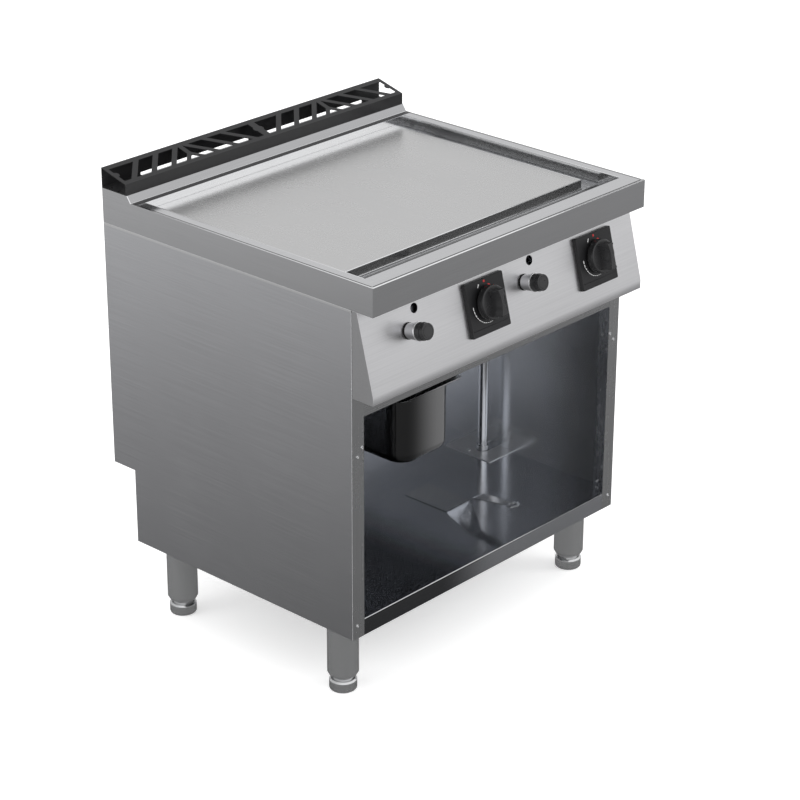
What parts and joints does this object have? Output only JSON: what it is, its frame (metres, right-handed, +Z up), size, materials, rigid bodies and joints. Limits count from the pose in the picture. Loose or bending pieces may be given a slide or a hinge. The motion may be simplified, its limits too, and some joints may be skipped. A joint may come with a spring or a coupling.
{
  "type": "flat top griddle",
  "caption": "Free-standing gas griddle: smooth steel plate in a raised worktop with drain trough, rear flue grille, turn knobs with igniters, and an open base with grease bin on levelling legs.",
  "frame": {"origin": "middle of the whole object's box in X and Y, at floor height", "axes": "+X to the right seen from the front, +Y towards the rear, +Z up"},
  "size_m": [0.8, 0.7648, 0.956],
  "materials": {
    "worktop_steel": "fine brushed stainless",
    "plate_steel": "satin ground steel",
    "side_steel": "brushed stainless, darker",
    "panel_steel": "horizontal brushed stainless",
    "cabinet_steel": "dark polished steel",
    "inner_steel": "plain sheet steel",
    "bin_steel": "dark polished stainless",
    "pipe_steel": "drawn pipe",
    "pipe_copper": null,
    "leg_steel": "brushed tube",
    "foot_steel": "turned foot",
    "scraper_steel": "polished blade",
    "fastener_steel": "bright heads",
    "igniter_chrome": "chromed collar",
    "brass": "turned brass",
    "black_enamel": "black enamel",
    "bezel_plastic": "black satin",
    "knob_plastic": "black satin",
    "button_plastic": "black",
    "ceramic": null
  },
  "bodies": {
    "body": {"worktop": "worktop_steel", "griddle_plate": "plate_steel", "drain_chute": "inner_steel", "flue_duct": "inner_steel", "left_side_panel": "side_steel", "right_side_panel": "side_steel", "rear_panel": "side_steel", "left_post": "side_steel", "right_post": "side_steel", "top_rail": "side_steel", "cabinet_floor": "cabinet_steel", "front_cross_member": "inner_steel", "rear_cross_member": "inner_steel", "heat_shield": "inner_steel", "control_panel": "panel_steel", "burner_chamber": "inner_steel", "left_bin_runner": "inner_steel", "right_bin_runner": "inner_steel", "pipe_cover_plate": "inner_steel", "pipe_collar": "inner_steel", "gas_inlet_pipe": "pipe_steel", "manifold_elbow": "pipe_steel", "gas_manifold": "pipe_steel", "gas_injectors": "brass", "pilot_brackets": "inner_steel", "pilot_burners": "brass", "thermocouples": "brass", "spark_electrodes": "ceramic", "post_rivets": "fastener_steel", "leg_bolts": "fastener_steel", "cover_screw": "fastener_steel", "left_bezel": "bezel_plastic", "left_gas_valve": "brass", "left_igniter_body": "igniter_chrome", "left_burner": "inner_steel", "left_feed_pipe": "pipe_copper", "right_bezel": "bezel_plastic", "right_gas_valve": "brass", "right_igniter_body": "igniter_chrome", "right_burner": "inner_steel", "right_feed_pipe": "pipe_copper", "front_left_leg": "leg_steel", "front_right_leg": "leg_steel", "rear_left_leg": "leg_steel", "rear_right_leg": "leg_steel"},
    "grille": {"flue_grille": "black_enamel"},
    "bin": {"grease_bin": "bin_steel"},
    "scraper": {"scraper": "scraper_steel"},
    "left_spindle": {"left_valve_spindle": "brass"},
    "left_knob": {"left_knob": "knob_plastic"},
    "left_button": {"left_igniter_button": "button_plastic"},
    "front_left_foot": {"front_left_foot": "foot_steel"},
    "rear_left_foot": {"rear_left_foot": "foot_steel"},
    "right_spindle": {"right_valve_spindle": "brass"},
    "right_knob": {"right_knob": "knob_plastic"},
    "right_button": {"right_igniter_button": "button_plastic"},
    "front_right_foot": {"front_right_foot": "foot_steel"},
    "rear_right_foot": {"rear_right_foot": "foot_steel"}
  },
  "joints": [
    {"name": "left_knob_push", "type": "slide", "parent": "body", "child": "left_spindle", "axis": [0, 0.9685, -0.2489], "range_m": [0, 0.005], "stiffness_N_per_m": 900, "springref_m": -0.004},
    {"name": "left_knob_turn", "type": "hinge", "parent": "left_spindle", "child": "left_knob", "pos_m": [-0.0675, -0.35003, 0.77497], "axis": [0, -0.9685, 0.2489], "range_deg": [0, 200]},
    {"name": "left_igniter_push", "type": "slide", "parent": "body", "child": "left_button", "axis": [0, 0.9685, -0.2489], "range_m": [0, 0.005], "stiffness_N_per_m": 900, "springref_m": -0.004},
    {"name": "right_knob_push", "type": "slide", "parent": "body", "child": "right_spindle", "axis": [0, 0.9685, -0.2489], "range_m": [0, 0.005], "stiffness_N_per_m": 900, "springref_m": -0.004},
    {"name": "right_knob_turn", "type": "hinge", "parent": "right_spindle", "child": "right_knob", "pos_m": [0.2655, -0.35003, 0.77497], "axis": [0, -0.9685, 0.2489], "range_deg": [0, 200]},
    {"name": "right_igniter_push", "type": "slide", "parent": "body", "child": "right_button", "axis": [0, 0.9685, -0.2489], "range_m": [0, 0.005], "stiffness_N_per_m": 900, "springref_m": -0.004},
    {"name": "bin_slide", "type": "slide", "parent": "body", "child": "bin", "axis": [0, -1, 0], "range_m": [0, 0.33]},
    {"name": "front_left_foot_screw", "type": "slide", "parent": "body", "child": "front_left_foot", "axis": [0, 0, -1], "range_m": [-0.007, 0.03]},
    {"name": "front_right_foot_screw", "type": "slide", "parent": "body", "child": "front_right_foot", "axis": [0, 0, -1], "range_m": [-0.007, 0.03]},
    {"name": "rear_left_foot_screw", "type": "slide", "parent": "body", "child": "rear_left_foot", "axis": [0, 0, -1], "range_m": [-0.007, 0.03]},
    {"name": "rear_right_foot_screw", "type": "slide", "parent": "body", "child": "rear_right_foot", "axis": [0, 0, -1], "range_m": [-0.007, 0.03]},
    {"name": "grille_lift", "type": "slide", "parent": "body", "child": "grille", "axis": [0, 0, 1], "range_m": [0, 0.06]},
    {"name": "scraper_lift", "type": "slide", "parent": "body", "child": "scraper", "axis": [0, 0, 1], "range_m": [0, 0.1]}
  ]
}
